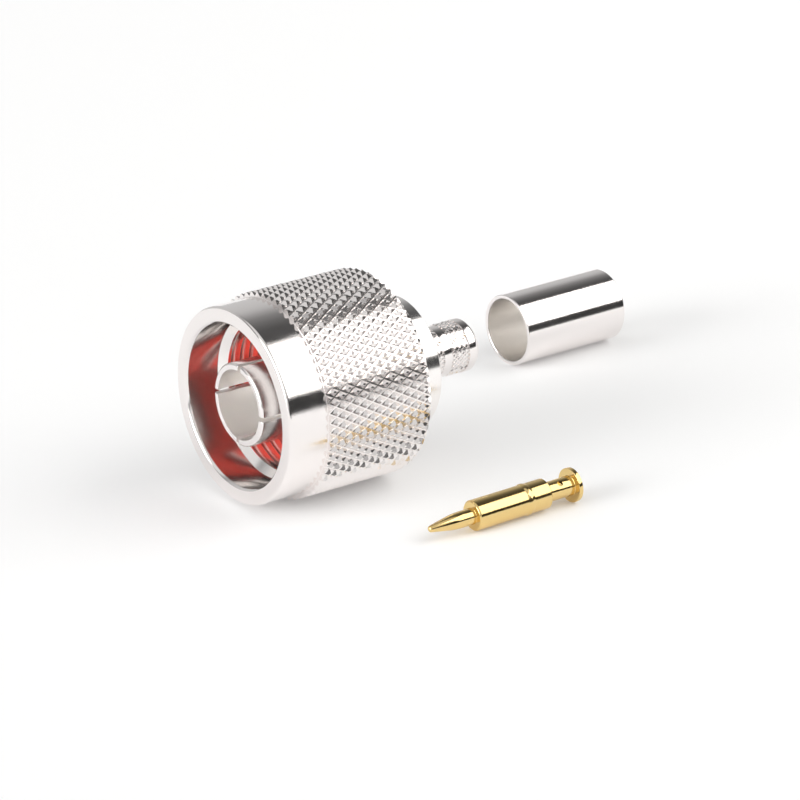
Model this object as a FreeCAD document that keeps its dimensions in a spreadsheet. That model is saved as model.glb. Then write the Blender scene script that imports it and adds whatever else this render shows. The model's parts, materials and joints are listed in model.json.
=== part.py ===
import FreeCAD, Part
import Sketcher
import math
import os

"""Coaxial crimp plug of the N size, with its loose ferrule and centre contact.

The origin is the reference plane: the tip of the slotted outer contact, on the plug's axis.
+X runs along the axis from the mouth to the crimp stem and +Z is up. The plug lies on its
knurl, and the ferrule and the centre contact lie on the same floor beside it.
"""

# Every driving size, in millimetres, degrees or a plain count.
DRIVING_SIZES = {
    # Coupling nut, along its axis
    "nut_length": (20.05, "mouth to the rear of the collar"),
    "mouth_lead": (0.60, "how far the mouth stands ahead of the reference plane"),
    "front_band_length": (4.34, "smooth band behind the mouth"),
    "collar_length": (3.85, "smooth collar behind the knurled grip"),
    "mouth_depth": (3.70, "depth of the plain counterbore"),
    "relief_length": (1.40, "run-out groove behind the thread"),
    "thread_gap": (0.80, "last thread to the gasket"),
    "tail_length": (6.65, "back of the body's flange to the rear of the nut"),
    "shoulder_play": (0.10, "inner shoulder of the nut to the body's flange"),
    # Coupling nut, across its axis: steps inwards from the grip and from the collar
    "knurl_radius": (10.28, "outside of the knurled grip"),
    "knurl_rise": (0.48, "grip above the smooth band"),
    "rim_wall": (1.65, "wall round the plain counterbore"),
    "thread_step": (0.70, "counterbore down to the crests of the thread"),
    "chamber_clearance": (0.25, "chamber of the nut round the body's flange"),
    "relief_depth": (0.65, "run-out groove below the chamber"),
    "collar_radius": (6.70, "smooth collar behind the grip"),
    "collar_wall": (1.34, "wall of the collar"),
    "turning_clearance": (0.06, "bore of the collar round the body's shank"),
    "rim_round": (0.30, "outer edge of the mouth"),
    "mouth_chamfer": (0.22, "inner edge of the mouth"),
    "knurl_chamfer": (0.30, "bevel at the rear of the grip"),
    "collar_chamfer": (0.18, "bevel at the rear of the collar"),
    "collar_fillet": (0.40, "root of the collar"),
    # Diamond knurl of the grip
    "knurl_count": (64, "diamonds round the grip"),
    "knurl_pitch": (1.70, "one diamond along the axis, as near as whole ones fit"),
    "knurl_depth": (0.34, "crests down to the bottom of the grooves"),
    "knurl_land": (0.24, "width of the flat crest of a diamond"),
    "knurl_root": (0.10, "root of the knurled ring below the smooth band"),
    # Retaining ring and its two grooves
    "ring_setback": (2.65, "middle of the ring to the rear of the nut"),
    "ring_width": (0.80, "along the axis"),
    "ring_hold": (0.30, "ring below the surface of the shank"),
    "ring_reach": (0.24, "ring beyond the bore of the collar"),
    "ring_gap_angle": (18.0, "open part of the ring"),
    "ring_side_clearance": (0.08, "each side of the ring in its grooves"),
    "body_groove_depth": (0.60, "groove in the body's shank"),
    "nut_groove_depth": (0.35, "groove in the bore of the collar"),
    # Body with its crimp stem
    "flange_radius": (7.20, "flange that the nut pulls on"),
    "flange_thickness": (1.50, "that flange along the axis"),
    "shank_reach": (0.60, "shank behind the rear of the nut"),
    "shank_chamfer": (0.25, "rear edge of the shank"),
    "shank_wall": (0.70, "wall of the shank round the outer contact's socket"),
    "socket_depth": (2.10, "depth of that socket"),
    "bead_seat_depth": (5.60, "front of the flange to the back of the insulator's seat"),
    "stem_radius": (2.70, "crimp stem"),
    "stem_wall": (0.70, "wall of the stem"),
    "stem_length": (7.09, "crimp stem behind the shank"),
    "stem_lip_length": (1.34, "plain lip at the end of the stem"),
    "stem_lip_round": (0.40, "rounded end of the lip"),
    "stem_knurl_length": (2.00, "rough band next to the lip"),
    "stem_neck_width": (1.00, "smooth neck between the rough bands"),
    "stem_neck_depth": (0.12, "depth of the neck"),
    # Slotted outer contact
    "land_step": (0.46, "land that is pressed into the socket, above the sleeve"),
    "sleeve_wall": (0.64, "wall of the sleeve"),
    "sleeve_tip_chamfer": (0.16, "outer edge of the tip"),
    "slot_count": (4, "slots round the sleeve"),
    "slot_width": (0.45, "sawn slot"),
    "slot_setback": (0.40, "bottom of the slots to the front of the insulator"),
    "slot_turn": (3.2, "turn of the slots about the axis"),
    "press_clearance": (0.01, "between pressed and seated pieces"),
    # Insulator
    "bead_lead": (2.40, "front of the insulator to the front of the gasket"),
    "bead_step": (0.20, "each step in the seat of the insulator"),
    "pin_hole_clearance": (0.03, "hole for the centre contact round its barrel"),
    # Gasket
    "gasket_thickness": (1.90, "along the axis"),
    "gasket_inset": (0.15, "edge of the gasket to the edge of the flange"),
    "gasket_round": (0.20, "edges of the gasket"),
    # Loose crimp ferrule and where it lies
    "ferrule_radius": (3.78, "outside of the tube"),
    "ferrule_wall": (0.42, "wall of the tube"),
    "ferrule_length": (12.83, "length of the tube"),
    "ferrule_round": (0.10, "edges of the tube"),
    "ferrule_place_x": (42.88, "reference plane to the ferrule's near end"),
    "ferrule_place_y": (13.44, "plug's axis to the ferrule's axis"),
    "ferrule_yaw": (0.43, "how far it lies off parallel"),
    # Loose centre contact, measured from its tip, and where it lies
    "pin_length": (17.18, "tip to the tail"),
    "pin_tip_radius": (0.22, "flat of the tip"),
    "pin_taper_length": (2.90, "taper of the nose"),
    "pin_taper_round": (8.00, "soft run from the taper into the nose"),
    "pin_nose_radius": (0.82, "plain part of the nose"),
    "pin_nose_length": (5.04, "tip to the front of the barrel"),
    "pin_barrel_radius": (1.52, "barrel"),
    "pin_barrel_chamfer": (0.14, "both edges of the barrel"),
    "pin_ridge_setback": (2.50, "middle of the locking ridge to the rear of the barrel"),
    "pin_ridge_width": (0.75, "foot of the ridge"),
    "pin_ridge_crest": (0.30, "top of the ridge"),
    "pin_ridge_height": (0.10, "ridge above the barrel"),
    "pin_neck_length": (3.03, "barrel to the flange at the tail"),
    "pin_neck_wall": (0.26, "wall of the neck round the conductor"),
    "pin_tail_thickness": (0.45, "flange along the axis"),
    "pin_tail_rise": (0.20, "flange above the barrel"),
    "pin_bore_radius": (0.74, "bore for the cable's conductor"),
    "pin_bore_depth": (4.40, "depth of that bore"),
    "pin_drill_angle": (59.0, "half of the drill's point angle"),
    "pin_hole_radius": (0.29, "inspection hole in the neck"),
    "pin_hole_setback": (1.50, "rear of the barrel to the inspection hole"),
    "pin_place_x": (9.25, "reference plane to the pin's tip"),
    "pin_place_y": (-18.26, "plug's axis to the pin's tip"),
    "pin_yaw": (-0.61, "how far it lies off parallel"),
    "pin_roll": (35.0, "turn of the inspection hole off the top"),
}


class Size:
    """A driving size or a sum of them: its number, and the expression that keeps it."""

    def __init__(self, value, text):
        self.value = value
        self.text = text

    def __add__(self, other):
        return joined(self, "+", other, self.value + as_size(other).value)

    def __sub__(self, other):
        return joined(self, "-", other, self.value - as_size(other).value)

    def __mul__(self, other):
        return joined(self, "*", other, self.value * as_size(other).value)

    def __truediv__(self, other):
        return joined(self, "/", other, self.value / as_size(other).value)

    def __neg__(self):
        return Size(-self.value, f"(-{self.text})")


def as_size(number):
    return number if isinstance(number, Size) else Size(float(number), str(number))


def joined(left, sign, right, value):
    return Size(value, f"({left.text} {sign} {as_size(right).text})")


def tangent(angle):
    return Size(math.tan(math.radians(angle.value)), f"tan({angle.text} * 1 deg)")


def sine(angle):
    return Size(math.sin(math.radians(angle.value)), f"sin({angle.text} * 1 deg)")


def cosine(angle):
    return Size(math.cos(math.radians(angle.value)), f"cos({angle.text} * 1 deg)")


def slope_angle(rise, run):
    """The angle, in degrees, of a line that climbs by rise over run."""
    ratio = rise / run
    return Size(math.degrees(math.atan(ratio.value)), f"(atan({ratio.text}) / 1 deg)")


class Sizes:
    """The driving sizes by name, each bound to its own cell of the sheet."""

    def __init__(self, document):
        sheet = document.addObject("Spreadsheet::Sheet", "sizes")
        for row, (name, (value, meaning)) in enumerate(DRIVING_SIZES.items(), start=1):
            sheet.set(f"A{row}", name)
            sheet.set(f"B{row}", str(value))
            sheet.set(f"C{row}", meaning)
            sheet.setAlias(f"B{row}", name)
            setattr(self, name, Size(value, f"sizes.{name}"))


doc = FreeCAD.newDocument("crimp_plug")
size = Sizes(doc)
doc.recompute()

# Places that several pieces share, from the reference plane back
nut_rear = size.nut_length - size.mouth_lead
shank_rear = nut_rear + size.shank_reach
ring_place = nut_rear - size.ring_setback
flange_rear = nut_rear - size.tail_length
flange_front = flange_rear - size.flange_thickness
socket_bottom = flange_front + size.socket_depth
bead_seat_end = flange_front + size.bead_seat_depth
gasket_front = flange_front - size.gasket_thickness
bead_front = gasket_front - size.bead_lead
slot_end = bead_front - size.slot_setback

# Radii that several pieces share, from the grip and from the flange inwards
front_band_radius = size.knurl_radius - size.knurl_rise
mouth_radius = front_band_radius - size.rim_wall
thread_core_radius = mouth_radius - size.thread_step
gasket_radius = size.flange_radius - size.gasket_inset

# Radii that several pieces share, from the collar inwards
tail_bore_radius = size.collar_radius - size.collar_wall
shank_radius = tail_bore_radius - size.turning_clearance
socket_radius = shank_radius - size.shank_wall
sleeve_radius = socket_radius - size.land_step
sleeve_bore_radius = sleeve_radius - size.sleeve_wall
bead_bore_radius = sleeve_bore_radius + size.bead_step
bead_seat_radius = bead_bore_radius + size.bead_step
floor_level = -size.knurl_radius


def new_body(label):
    body = doc.addObject("PartDesign::Body", label)
    body.Label = label
    return body


def origin_feature(body, role):
    return next(part for part in body.Origin.OriginFeatures if part.Role == role)


def place(body, x, y=0, z=0, yaw=0, pitch=0, roll=0):
    """Puts a body where it sits in the plug's frame, bound to the sheet."""
    x, y, z, yaw, pitch, roll = (as_size(item).text for item in (x, y, z, yaw, pitch, roll))
    body.setExpression(
        "Placement", f"placement(vector({x}; {y}; {z}); rotation({yaw}; {pitch}; {roll}))")


def closed_sketch(body, name, corners, plane="XZ_Plane"):
    """An outline through the corners, each held at its place by two bound dimensions."""
    sketch = body.newObject("Sketcher::SketchObject", name)
    sketch.AttachmentSupport = [(origin_feature(body, plane), "")]
    sketch.MapMode = "FlatFace"
    corners = [(as_size(along), as_size(across)) for along, across in corners]
    count = len(corners)
    for index, start in enumerate(corners):
        end = corners[(index + 1) % count]
        sketch.addGeometry(Part.LineSegment(
            FreeCAD.Vector(start[0].value, start[1].value, 0),
            FreeCAD.Vector(end[0].value, end[1].value, 0)), False)
    for index in range(count):
        sketch.addConstraint(Sketcher.Constraint("Coincident", index, 2, (index + 1) % count, 1))
    for index, corner in enumerate(corners):
        hold_corner(sketch, index, "DistanceX", corner[0])
        hold_corner(sketch, index, "DistanceY", corner[1])
    return sketch


def hold_corner(sketch, index, direction, distance):
    """Dimensions one corner from the sketch's origin, or ties it to the axis it lies on."""
    if distance.text in ("0", "0.0"):
        axis = -2 if direction == "DistanceX" else -1
        sketch.addConstraint(Sketcher.Constraint("PointOnObject", index, 1, axis))
        return
    number = sketch.addConstraint(
        Sketcher.Constraint(direction, -1, 1, index, 1, distance.value))
    sketch.setExpression(f"Constraints[{number}]", distance.text)


def turned(body, name, corners):
    """A solid turned about X from the half section (along the axis, radius)."""
    sketch = closed_sketch(body, f"{name}_section", corners)
    solid = body.newObject("PartDesign::Revolution", name)
    solid.Profile = sketch
    solid.ReferenceAxis = (origin_feature(body, "X_Axis"), [""])
    solid.Angle = 360
    doc.recompute()
    return solid


def turned_groove(body, name, corners):
    """A groove or bore turned about X, which has to take metal away."""
    before = body.Tip.Shape.Volume
    sketch = closed_sketch(body, f"{name}_section", corners)
    groove = body.newObject("PartDesign::Groove", name)
    groove.Profile = sketch
    groove.ReferenceAxis = (origin_feature(body, "X_Axis"), [""])
    groove.Angle = 360
    doc.recompute()
    check_cut(groove, before)
    return groove


def check_cut(feature, volume_before):
    if feature.Shape.Volume >= volume_before:
        raise RuntimeError(f"{feature.Name} cuts nothing")


def ring_edges(shape, circles):
    """Names of the round edges about X that match one of the (along, radius) pairs."""
    wanted = [(as_size(along).value, as_size(radius).value) for along, radius in circles]
    names = []
    for number, edge in enumerate(shape.Edges, start=1):
        if not isinstance(edge.Curve, Part.Circle):
            continue
        found = (edge.Curve.Center.x, edge.Curve.Radius)
        if any(math.dist(found, pair) < 1e-4 for pair in wanted):
            names.append(f"Edge{number}")
    if len(names) < len(wanted):
        raise RuntimeError(f"an edge is missing at {wanted}")
    return names


def eased(body, kind, name, amount, circles):
    """A Chamfer or a Fillet on round edges of the body's last feature."""
    base = body.Tip
    feature = body.newObject(f"PartDesign::{kind}", name)
    feature.Base = (base, ring_edges(base.Shape, circles))
    feature.setExpression("Size" if kind == "Chamfer" else "Radius", amount.text)
    doc.recompute()
    return feature


def flat_face(points):
    return Part.Face(Part.makePolygon(points + points[:1]))


def crest_point(foot, tip, outwards, level):
    """Where the edge from a foot to the tip of a pyramid meets its flat crest."""
    low, high = foot.dot(outwards), tip.dot(outwards)
    return foot + (tip - foot) * ((level - low) / (high - low))


def knurled_bar(start, end):
    """A bar left by two sets of crossing grooves: pyramids with flat crests, halved at both ends."""
    rows = max(1, round((end - start).value / size.knurl_pitch.value))
    count = round(size.knurl_count.value)
    half_pitch = (end - start).value / (2 * rows)
    half_turn = math.pi / count
    crest = size.knurl_radius.value
    floor = crest - size.knurl_depth.value
    apex = floor + (crest - floor) / (1 - size.knurl_land.value / (2 * half_turn * crest))

    def at(row, column, radius):
        turn = column * half_turn
        return FreeCAD.Vector(
            start.value + row * half_pitch, radius * math.cos(turn), radius * math.sin(turn))

    faces = []
    rims = {0: [], 2 * rows: []}
    for row in range(2 * rows + 1):
        sides = {0: (1, 2, 3), 2 * rows: (3, 0, 1)}.get(row, (0, 1, 2, 3, 0))
        for column in range(row % 2, 2 * count, 2):
            outwards = at(0, column, 1) - at(0, column, 0)
            tip = at(row, column, apex)
            feet = [at(row + along, column + around, floor)
                    for along, around in ((-1, 0), (0, -1), (1, 0), (0, 1))]
            crests = [crest_point(foot, tip, outwards, crest) for foot in feet]
            faces.append(flat_face([crests[corner] for corner in sides[:4]]))
            for left, right in zip(sides, sides[1:]):
                faces.append(flat_face([feet[left], feet[right], crests[right], crests[left]]))
            if row in rims:
                rims[row] += [feet[1], crests[1], crests[3]]
    faces += [flat_face(rim) for rim in rims.values()]
    shell = Part.Shell(faces)
    shell.sewShape()
    bar = Part.Solid(shell if shell.ShapeType == "Shell" else shell.Shells[0])
    if bar.Volume < 0:
        bar.reverse()
    if not bar.isValid():
        raise RuntimeError("the knurl is not a sound solid")
    return bar


def make_grip(start, end):
    """The knurled ring of the nut, with the bevel that is turned at its rear."""
    knurl = doc.addObject("Part::Feature", "diamond_knurl")
    knurl.Shape = knurled_bar(start, end)
    blank = new_body("grip_blank")
    root_radius = front_band_radius - size.knurl_root
    turned(blank, "grip_turning", [
        (start, root_radius),
        (start, size.knurl_radius + size.knurl_chamfer),
        (end - size.knurl_chamfer * 2, size.knurl_radius + size.knurl_chamfer),
        (end, size.knurl_radius - size.knurl_chamfer),
        (end, root_radius),
    ])
    grip = doc.addObject("Part::MultiCommon", "knurled_grip")
    grip.Shapes = [knurl, blank]
    grip.Refine = False
    return grip


def make_coupling_nut():
    """The nut turns on the body's shank and pulls on the back of its flange."""
    body = new_body("nut_blank")
    knurl_end = size.nut_length - size.collar_length
    thread_end = size.mouth_lead + gasket_front - size.thread_gap
    relief_end = thread_end + size.relief_length
    chamber_radius = size.flange_radius + size.chamber_clearance
    relief_radius = chamber_radius + size.relief_depth
    shoulder = size.mouth_lead + flange_rear + size.shoulder_play
    lead_in_end = size.mouth_depth + size.thread_step
    turned(body, "nut_turning", [
        (0, mouth_radius),
        (0, front_band_radius),
        (knurl_end, front_band_radius),
        (knurl_end, size.collar_radius),
        (size.nut_length, size.collar_radius),
        (size.nut_length, tail_bore_radius),
        (shoulder, tail_bore_radius),
        (shoulder, chamber_radius),
        (relief_end, chamber_radius),
        (relief_end, relief_radius),
        (thread_end, relief_radius),
        (thread_end, thread_core_radius),
        (lead_in_end, thread_core_radius),
        (size.mouth_depth, mouth_radius),
    ])
    half_groove = size.ring_width / 2 + size.ring_side_clearance
    groove_middle = size.mouth_lead + ring_place
    groove_radius = tail_bore_radius + size.nut_groove_depth
    turned_groove(body, "nut_ring_groove", [
        (groove_middle - half_groove, shank_radius),
        (groove_middle + half_groove, shank_radius),
        (groove_middle + half_groove, groove_radius),
        (groove_middle - half_groove, groove_radius),
    ])
    eased(body, "Fillet", "nut_rim_round", size.rim_round, [(0, front_band_radius)])
    eased(body, "Chamfer", "nut_mouth_edge", size.mouth_chamfer, [(0, mouth_radius)])
    eased(body, "Fillet", "collar_root", size.collar_fillet, [(knurl_end, size.collar_radius)])
    eased(body, "Chamfer", "collar_edge", size.collar_chamfer, [(size.nut_length, size.collar_radius)])
    place(body, -size.mouth_lead)
    nut = doc.addObject("Part::MultiFuse", "coupling_nut")
    nut.Shapes = [body, make_grip(size.front_band_length - size.mouth_lead, knurl_end - size.mouth_lead)]
    nut.Refine = False
    doc.recompute()
    return nut


def make_connector_body():
    """Flange, shank and crimp stem turned in one, bored through for the cable."""
    body = new_body("connector_body")
    stem_end = shank_rear + size.stem_length
    stem_bore_radius = size.stem_radius - size.stem_wall
    turned(body, "body_turning", [
        (flange_front, socket_radius),
        (flange_front, size.flange_radius),
        (flange_rear, size.flange_radius),
        (flange_rear, shank_radius),
        (shank_rear, shank_radius),
        (shank_rear, size.stem_radius),
        (stem_end, size.stem_radius),
        (stem_end, stem_bore_radius),
        (bead_seat_end, stem_bore_radius),
        (bead_seat_end, bead_seat_radius),
        (socket_bottom, bead_seat_radius),
        (socket_bottom, socket_radius),
    ])
    half_groove = size.ring_width / 2 + size.ring_side_clearance
    groove_radius = shank_radius - size.body_groove_depth
    turned_groove(body, "body_ring_groove", [
        (ring_place - half_groove, groove_radius),
        (ring_place + half_groove, groove_radius),
        (ring_place + half_groove, tail_bore_radius),
        (ring_place - half_groove, tail_bore_radius),
    ])
    neck_end = stem_end - size.stem_lip_length - size.stem_knurl_length
    neck_start = neck_end - size.stem_neck_width
    neck_radius = size.stem_radius - size.stem_neck_depth
    turned_groove(body, "stem_neck", [
        (neck_start, neck_radius),
        (neck_end, neck_radius),
        (neck_end, shank_radius),
        (neck_start, shank_radius),
    ])
    eased(body, "Chamfer", "shank_edge", size.shank_chamfer, [(shank_rear, shank_radius)])
    eased(body, "Fillet", "lip_round", size.stem_lip_round, [(stem_end, size.stem_radius)])
    return body


def make_outer_contact():
    """A springy sleeve, slotted from its tip and pressed into the body's socket."""
    body = new_body("outer_contact")
    land_radius = socket_radius - size.press_clearance
    turned(body, "sleeve_turning", [
        (0, sleeve_bore_radius),
        (0, sleeve_radius),
        (flange_front, sleeve_radius),
        (flange_front, land_radius),
        (socket_bottom, land_radius),
        (socket_bottom, bead_bore_radius),
        (bead_front, bead_bore_radius),
        (bead_front, sleeve_bore_radius),
    ])
    eased(body, "Chamfer", "sleeve_tip_edge", size.sleeve_tip_chamfer, [(0, sleeve_radius)])
    before = body.Tip.Shape.Volume
    half_width = size.slot_width / 2
    sketch = closed_sketch(body, "slot_outline", [
        (-size.slot_width, -half_width),
        (slot_end, -half_width),
        (slot_end, half_width),
        (-size.slot_width, half_width),
    ], plane="XY_Plane")
    slot = body.newObject("PartDesign::Pocket", "slot")
    slot.Profile = sketch
    slot.Reversed = True
    slot.setExpression("Length", (sleeve_radius + size.slot_width).text)
    doc.recompute()
    check_cut(slot, before)
    pattern = body.newObject("PartDesign::PolarPattern", "slots")
    pattern.Originals = [slot]
    pattern.Axis = (origin_feature(body, "X_Axis"), [""])
    pattern.Angle = 360
    pattern.setExpression("Occurrences", size.slot_count.text)
    body.Tip = pattern
    place(body, 0, roll=size.slot_turn)
    return body


def make_insulator():
    """A stepped bead, held between the step in the sleeve and the back of its seat."""
    body = new_body("insulator")
    step = socket_bottom - bead_front
    length = bead_seat_end - bead_front
    front_radius = bead_bore_radius - size.press_clearance
    rear_radius = bead_seat_radius - size.press_clearance
    hole_radius = size.pin_barrel_radius + size.pin_hole_clearance
    turned(body, "bead_turning", [
        (0, hole_radius),
        (0, front_radius),
        (step, front_radius),
        (step, rear_radius),
        (length, rear_radius),
        (length, hole_radius),
    ])
    place(body, bead_front)
    return body


def make_gasket():
    """A soft ring round the sleeve, flat on the front of the body's flange."""
    body = new_body("gasket")
    bore_radius = sleeve_radius + size.press_clearance
    turned(body, "gasket_ring", [
        (0, bore_radius),
        (0, gasket_radius),
        (size.gasket_thickness, gasket_radius),
        (size.gasket_thickness, bore_radius),
    ])
    eased(body, "Fillet", "gasket_edges", size.gasket_round,
          [(0, gasket_radius), (0, bore_radius)])
    place(body, gasket_front)
    return body


def make_retaining_ring():
    """A split spring ring, half in the body's groove and half in the nut's."""
    body = new_body("retaining_ring")
    half_width = size.ring_width / 2
    inner_radius = shank_radius - size.ring_hold
    outer_radius = tail_bore_radius + size.ring_reach
    ring = turned(body, "split_ring", [
        (-half_width, inner_radius),
        (half_width, inner_radius),
        (half_width, outer_radius),
        (-half_width, outer_radius),
    ])
    ring.setExpression("Angle", (Size(360, "360") - size.ring_gap_angle).text)
    place(body, ring_place)
    return body


def make_crimp_ferrule():
    """A plain tube that lies loose on the floor."""
    body = new_body("crimp_ferrule")
    corners = [
        (0, size.ferrule_radius - size.ferrule_wall),
        (0, size.ferrule_radius),
        (size.ferrule_length, size.ferrule_radius),
        (size.ferrule_length, size.ferrule_radius - size.ferrule_wall),
    ]
    turned(body, "ferrule_tube", corners)
    eased(body, "Fillet", "ferrule_edges", size.ferrule_round, corners)
    place(body, size.ferrule_place_x, size.ferrule_place_y,
          floor_level + size.ferrule_radius, yaw=size.ferrule_yaw)
    return body


def make_center_contact():
    """A turned pin that rests on the front of its barrel and on its tail flange."""
    body = new_body("center_contact")
    tail_front = size.pin_length - size.pin_tail_thickness
    barrel_end = tail_front - size.pin_neck_length
    ridge_place = barrel_end - size.pin_ridge_setback
    ridge_radius = size.pin_barrel_radius + size.pin_ridge_height
    neck_radius = size.pin_bore_radius + size.pin_neck_wall
    tail_radius = size.pin_barrel_radius + size.pin_tail_rise
    half_foot = size.pin_ridge_width / 2
    half_crest = size.pin_ridge_crest / 2
    turned(body, "pin_turning", [
        (0, 0),
        (0, size.pin_tip_radius),
        (size.pin_taper_length, size.pin_nose_radius),
        (size.pin_nose_length, size.pin_nose_radius),
        (size.pin_nose_length, size.pin_barrel_radius),
        (ridge_place - half_foot, size.pin_barrel_radius),
        (ridge_place - half_crest, ridge_radius),
        (ridge_place + half_crest, ridge_radius),
        (ridge_place + half_foot, size.pin_barrel_radius),
        (barrel_end, size.pin_barrel_radius),
        (barrel_end, neck_radius),
        (tail_front, neck_radius),
        (tail_front, tail_radius),
        (size.pin_length, tail_radius),
        (size.pin_length, 0),
    ])
    bore_bottom = size.pin_length - size.pin_bore_depth
    drill_tip = bore_bottom - size.pin_bore_radius / tangent(size.pin_drill_angle)
    turned_groove(body, "conductor_bore", [
        (drill_tip, 0),
        (bore_bottom, size.pin_bore_radius),
        (size.pin_length, size.pin_bore_radius),
        (size.pin_length, 0),
    ])
    eased(body, "Fillet", "taper_run", size.pin_taper_round,
          [(size.pin_taper_length, size.pin_nose_radius)])
    eased(body, "Chamfer", "barrel_edges", size.pin_barrel_chamfer,
          [(size.pin_nose_length, size.pin_barrel_radius), (barrel_end, size.pin_barrel_radius)])
    drill_inspection_hole(body, barrel_end + size.pin_hole_setback, tail_radius)
    # It rests on the front of the barrel and on the rim of the tail, which is wider
    rest_at = size.pin_nose_length + size.pin_barrel_chamfer
    tilt = slope_angle(size.pin_tail_rise, tail_front - rest_at)
    tip_level = floor_level + size.pin_barrel_radius * cosine(tilt) - rest_at * sine(tilt)
    place(body, size.pin_place_x, size.pin_place_y, tip_level,
          yaw=size.pin_yaw, pitch=-tilt, roll=size.pin_roll)
    return body


def drill_inspection_hole(body, along, reach):
    """A small hole through one wall of the neck, where the solder or the wire is seen."""
    before = body.Tip.Shape.Volume
    sketch = body.newObject("Sketcher::SketchObject", "hole_outline")
    sketch.AttachmentSupport = [(origin_feature(body, "XY_Plane"), "")]
    sketch.MapMode = "FlatFace"
    centre = FreeCAD.Vector(along.value, 0, 0)
    sketch.addGeometry(
        Part.Circle(centre, FreeCAD.Vector(0, 0, 1), size.pin_hole_radius.value), False)
    radius = sketch.addConstraint(Sketcher.Constraint("Radius", 0, size.pin_hole_radius.value))
    sketch.setExpression(f"Constraints[{radius}]", size.pin_hole_radius.text)
    sketch.addConstraint(Sketcher.Constraint("PointOnObject", 0, 3, -1))
    place_on_axis = sketch.addConstraint(
        Sketcher.Constraint("DistanceX", -1, 1, 0, 3, along.value))
    sketch.setExpression(f"Constraints[{place_on_axis}]", along.text)
    hole = body.newObject("PartDesign::Pocket", "inspection_hole")
    hole.Profile = sketch
    hole.Reversed = True
    hole.setExpression("Length", reach.text)
    doc.recompute()
    check_cut(hole, before)


def check_document():
    """Stops if any object failed, since a recompute alone raises nothing."""
    for item in doc.Objects:
        if any(word in item.State for word in ("Invalid", "Error")):
            raise RuntimeError(f"{item.Label} failed: {item.State}")


def write_piece(body):
    shape = body.Shape
    if shape.isNull() or not shape.isValid() or len(shape.Solids) != 1:
        raise RuntimeError(f"{body.Label} is not one sound solid")
    shape.exportStep(f"parts/{body.Label}.step")
    print(f"{body.Label}: {shape.Volume:.2f} mm3")


pieces = [
    make_coupling_nut(),
    make_connector_body(),
    make_outer_contact(),
    make_insulator(),
    make_gasket(),
    make_retaining_ring(),
    make_crimp_ferrule(),
    make_center_contact(),
]
doc.recompute()
check_document()
os.makedirs("parts", exist_ok=True)
for piece in pieces:
    write_piece(piece)
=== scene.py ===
"""A crimp plug: the knurled coupling nut on its body, with the loose ferrule and centre contact."""

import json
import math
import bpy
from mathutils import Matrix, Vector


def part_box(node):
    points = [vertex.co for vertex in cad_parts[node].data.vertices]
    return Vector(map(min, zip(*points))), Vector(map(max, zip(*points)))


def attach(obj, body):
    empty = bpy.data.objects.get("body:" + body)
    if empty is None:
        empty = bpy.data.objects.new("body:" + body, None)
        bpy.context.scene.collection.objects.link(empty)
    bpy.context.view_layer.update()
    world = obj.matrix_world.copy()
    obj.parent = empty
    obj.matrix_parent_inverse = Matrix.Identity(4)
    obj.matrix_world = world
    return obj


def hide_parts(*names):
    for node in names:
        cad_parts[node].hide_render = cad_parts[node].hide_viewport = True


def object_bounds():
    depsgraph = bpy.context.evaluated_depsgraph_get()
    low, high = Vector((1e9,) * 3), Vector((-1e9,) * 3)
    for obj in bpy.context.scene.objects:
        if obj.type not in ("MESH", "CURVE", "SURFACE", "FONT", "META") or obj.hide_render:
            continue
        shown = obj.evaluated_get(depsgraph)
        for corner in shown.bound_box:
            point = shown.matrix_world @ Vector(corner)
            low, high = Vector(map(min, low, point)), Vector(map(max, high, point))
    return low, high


bl_info = {
    "name": "Crimp Plug",
    "version": (1, 0, 0),
    "blender": (4, 5, 0),
    "location": "3D View > Sidebar > Crimp Plug",
    "description": "Builds a coaxial crimp plug with its loose ferrule and centre contact",
    "category": "Add Mesh",
}

import bmesh
import bpy
from bpy.props import FloatProperty, FloatVectorProperty, IntProperty, PointerProperty
from mathutils import Matrix, Vector, noise

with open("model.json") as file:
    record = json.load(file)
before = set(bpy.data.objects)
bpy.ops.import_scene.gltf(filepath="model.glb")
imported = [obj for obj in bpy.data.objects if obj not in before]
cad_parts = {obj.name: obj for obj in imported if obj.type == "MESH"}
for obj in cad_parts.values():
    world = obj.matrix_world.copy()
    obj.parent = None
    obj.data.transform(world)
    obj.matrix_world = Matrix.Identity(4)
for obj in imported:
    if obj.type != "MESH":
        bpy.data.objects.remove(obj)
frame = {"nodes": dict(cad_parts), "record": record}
CAD_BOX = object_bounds()

MM = 0.001
HAIR = 0.01 * MM  # puts a radius just clear of a surface
TINY = 1e-6  # closer points are one point
ROUND_STEPS = 192
ROUND_SHARE = 0.3  # depth of a softened edge at its middle, as a share of its width
MOST_PRESSED = 0.9  # the most that wear takes off a crest
SHARP_ANGLE = math.radians(30)
NOISE_LOW, NOISE_HIGH = 0.3, 0.7  # nearly all of a noise lies between these
PLAIN, BORED, KNURLED = range(3)  # material slots of a piece
NUT_LOW, NUT_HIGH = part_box("coupling_nut")
BODY_LOW, BODY_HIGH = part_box("connector_body")
SLEEVE_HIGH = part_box("outer_contact")[1]
GASKET_LOW, GASKET_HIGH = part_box("gasket")
BEAD_LOW, BEAD_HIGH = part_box("insulator")
MOUNTS = {mount["name"]: mount for mount in frame["record"]["mounts"]}
ALONG = Vector((1, 0, 0))


def length(name, description, millimetres):
    """A length that a user can change, given in millimetres and held in metres."""
    return FloatProperty(name=name, description=description, default=millimetres * MM,
                         unit="LENGTH", subtype="DISTANCE", precision=5)


def angle(name, description, degrees):
    return FloatProperty(name=name, description=description, default=math.radians(degrees),
                         unit="ROTATION", subtype="ANGLE")


def share(name, description, value):
    return FloatProperty(name=name, description=description, default=value,
                         min=0.0, max=1.0, subtype="FACTOR")


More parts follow.
